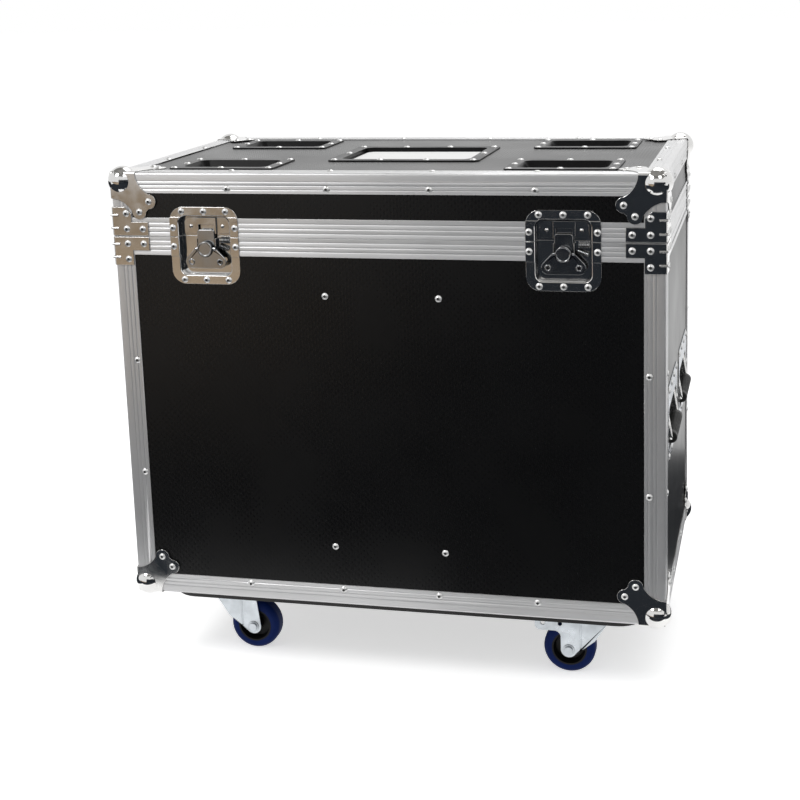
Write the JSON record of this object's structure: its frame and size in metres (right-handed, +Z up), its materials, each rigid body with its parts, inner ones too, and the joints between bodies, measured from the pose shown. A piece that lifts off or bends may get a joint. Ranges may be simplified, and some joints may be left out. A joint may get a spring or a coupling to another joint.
{
  "type": "lighting flight case",
  "caption": "Wheeled flight case with a hinged lid, recessed butterfly latches, drop handles, divider boards and stacking dishes for transporting stage lamps.",
  "frame": {"origin": "on the floor under the middle of the case, where its wheels stand", "axes": "+Z up, the latches face -Y, +X is to the right when facing the latches"},
  "size_m": [0.815, 0.4762, 0.7719],
  "materials": {
    "panel": "black textured phenolic film on plywood",
    "aluminium": "satin anodised extrusion",
    "zinc": "bright plated steel",
    "rivets": "bright plated steel",
    "dish_black": "black powder coat",
    "handle_steel": "bright plated steel",
    "board": "black painted plywood",
    "castor_steel": "bluish zinc plated steel",
    "core": "black moulded nylon",
    "tyre": "dark blue elastic rubber",
    "grip": "black ribbed rubber",
    "foam": "dark grey foam",
    "card": "matt white card",
    "channel": "mill finish"
  },
  "bodies": {
    "case": {"base_front_panel": "panel", "base_back_panel": "panel", "base_side_panels": "panel", "base_floor_panel": "panel", "base_edge_bars": "aluminium", "base_rim": "aluminium", "base_corner_braces": "zinc", "base_ball_corners": "zinc", "base_rivets_and_bolts": "rivets", "castor_board": "board", "castor_plates": "castor_steel", "handle_dishes": "handle_steel", "latch_lower_dishes": "zinc", "latch_bases": "zinc", "hinge_lower_leaves": "zinc", "divider_channels": "channel", "divider_boards": "panel", "floor_pads": "foam"},
    "lid": {"lid_top_panel": "panel", "lid_wall_panels": "panel", "lid_edge_bars": "aluminium", "lid_rim": "aluminium", "lid_corner_braces": "zinc", "lid_ball_corners": "zinc", "lid_rivets": "rivets", "castor_dishes": "dish_black", "label_dish": "dish_black", "label_card": "card", "latch_upper_dishes": "zinc", "latch_keepers": "zinc", "hinge_upper_leaves": "zinc", "lid_pad": "foam"},
    "latch_hub_left": {"latch_hub_left": "zinc"},
    "latch_hook_left": {"latch_hook_left": "zinc"},
    "latch_wing_left": {"latch_wing_left": "zinc"},
    "latch_hub_right": {"latch_hub_right": "zinc"},
    "latch_hook_right": {"latch_hook_right": "zinc"},
    "latch_wing_right": {"latch_wing_right": "zinc"},
    "handle_right_front": {"handle_bail_right_front": "handle_steel", "handle_grip_right_front": "grip"},
    "handle_right_rear": {"handle_bail_right_rear": "handle_steel", "handle_grip_right_rear": "grip"},
    "handle_left_front": {"handle_bail_left_front": "handle_steel", "handle_grip_left_front": "grip"},
    "handle_left_rear": {"handle_bail_left_rear": "handle_steel", "handle_grip_left_rear": "grip"},
    "fork_front_left": {"castor_fork_front_left": "castor_steel"},
    "wheel_front_left": {"wheel_core_front_left": "core", "wheel_tyre_front_left": "tyre"},
    "fork_front_right": {"castor_fork_front_right": "castor_steel"},
    "wheel_front_right": {"wheel_core_front_right": "core", "wheel_tyre_front_right": "tyre"},
    "brake_front_right": {"brake_pedal_front_right": "castor_steel"},
    "fork_rear_left": {"castor_fork_rear_left": "castor_steel"},
    "wheel_rear_left": {"wheel_core_rear_left": "core", "wheel_tyre_rear_left": "tyre"},
    "fork_rear_right": {"castor_fork_rear_right": "castor_steel"},
    "wheel_rear_right": {"wheel_core_rear_right": "core", "wheel_tyre_rear_right": "tyre"},
    "brake_rear_right": {"brake_pedal_rear_right": "castor_steel"}
  },
  "joints": [
    {"name": "lid_hinge", "type": "hinge", "parent": "case", "child": "lid", "pos_m": [0, 0.2343, 0.6711], "axis": [-1, 0, 0], "range_deg": [0, 95]},
    {"name": "latch_turn_left", "type": "hinge", "parent": "case", "child": "latch_hub_left", "pos_m": [-0.2585, -0.23, 0.6537], "axis": [0, 1, 0], "range_deg": [0, 180]},
    {"name": "latch_hook_slide_left", "type": "slide", "parent": "case", "child": "latch_hook_left", "axis": [0, 0, 1], "range_m": [0, 0.007]},
    {"name": "latch_wing_fold_left", "type": "hinge", "parent": "latch_hub_left", "child": "latch_wing_left", "pos_m": [-0.2585, -0.2284, 0.6537], "axis": [-1, 0, 0], "range_deg": [0, 90]},
    {"name": "latch_turn_right", "type": "hinge", "parent": "case", "child": "latch_hub_right", "pos_m": [0.2585, -0.23, 0.6537], "axis": [0, 1, 0], "range_deg": [0, 180]},
    {"name": "latch_hook_slide_right", "type": "slide", "parent": "case", "child": "latch_hook_right", "axis": [0, 0, 1], "range_m": [0, 0.007]},
    {"name": "latch_wing_fold_right", "type": "hinge", "parent": "latch_hub_right", "child": "latch_wing_right", "pos_m": [0.2585, -0.2284, 0.6537], "axis": [-1, 0, 0], "range_deg": [0, 90]},
    {"name": "handle_swing_right_front", "type": "hinge", "parent": "case", "child": "handle_right_front", "pos_m": [0.3915, -0.103, 0.4199], "axis": [0, -1, 0], "range_deg": [0, 80]},
    {"name": "handle_swing_right_rear", "type": "hinge", "parent": "case", "child": "handle_right_rear", "pos_m": [0.3915, 0.103, 0.4199], "axis": [0, -1, 0], "range_deg": [0, 80]},
    {"name": "handle_swing_left_front", "type": "hinge", "parent": "case", "child": "handle_left_front", "pos_m": [-0.3915, -0.103, 0.4199], "axis": [0, 1, 0], "range_deg": [0, 80]},
    {"name": "handle_swing_left_rear", "type": "hinge", "parent": "case", "child": "handle_left_rear", "pos_m": [-0.3915, 0.103, 0.4199], "axis": [0, 1, 0], "range_deg": [0, 80]},
    {"name": "castor_swivel_front_left", "type": "hinge", "parent": "case", "child": "fork_front_left", "pos_m": [-0.28, -0.128, 0.0915], "axis": [0, 0, 1], "continuous": true},
    {"name": "wheel_roll_front_left", "type": "hinge", "parent": "fork_front_left", "child": "wheel_front_left", "pos_m": [-0.248, -0.128, 0.039], "axis": [0, 1, 0], "continuous": true},
    {"name": "castor_swivel_front_right", "type": "hinge", "parent": "case", "child": "fork_front_right", "pos_m": [0.28, -0.128, 0.0915], "axis": [0, 0, 1], "continuous": true},
    {"name": "wheel_roll_front_right", "type": "hinge", "parent": "fork_front_right", "child": "wheel_front_right", "pos_m": [0.248, -0.128, 0.039], "axis": [0, 1, 0], "continuous": true},
    {"name": "brake_press_front_right", "type": "hinge", "parent": "fork_front_right", "child": "brake_front_right", "pos_m": [0.236, -0.128, 0.089], "axis": [0, -1, 0], "range_deg": [0, 8], "stiffness_Nm_per_rad": 0.2, "springref_deg": -3.44},
    {"name": "castor_swivel_rear_left", "type": "hinge", "parent": "case", "child": "fork_rear_left", "pos_m": [-0.28, 0.128, 0.0915], "axis": [0, 0, 1], "continuous": true},
    {"name": "wheel_roll_rear_left", "type": "hinge", "parent": "fork_rear_left", "child": "wheel_rear_left", "pos_m": [-0.248, 0.128, 0.039], "axis": [0, 1, 0], "continuous": true},
    {"name": "castor_swivel_rear_right", "type": "hinge", "parent": "case", "child": "fork_rear_right", "pos_m": [0.28, 0.128, 0.0915], "axis": [0, 0, 1], "continuous": true},
    {"name": "wheel_roll_rear_right", "type": "hinge", "parent": "fork_rear_right", "child": "wheel_rear_right", "pos_m": [0.248, 0.128, 0.039], "axis": [0, 1, 0], "continuous": true},
    {"name": "brake_press_rear_right", "type": "hinge", "parent": "fork_rear_right", "child": "brake_rear_right", "pos_m": [0.236, 0.128, 0.089], "axis": [0, -1, 0], "range_deg": [0, 8], "stiffness_Nm_per_rad": 0.2, "springref_deg": -3.44}
  ],
  "couplings": [
    {"joint": "latch_hook_slide_left", "follows": "latch_turn_left", "m_per_rad": 0.002228},
    {"joint": "latch_hook_slide_right", "follows": "latch_turn_right", "m_per_rad": 0.002228}
  ]
}
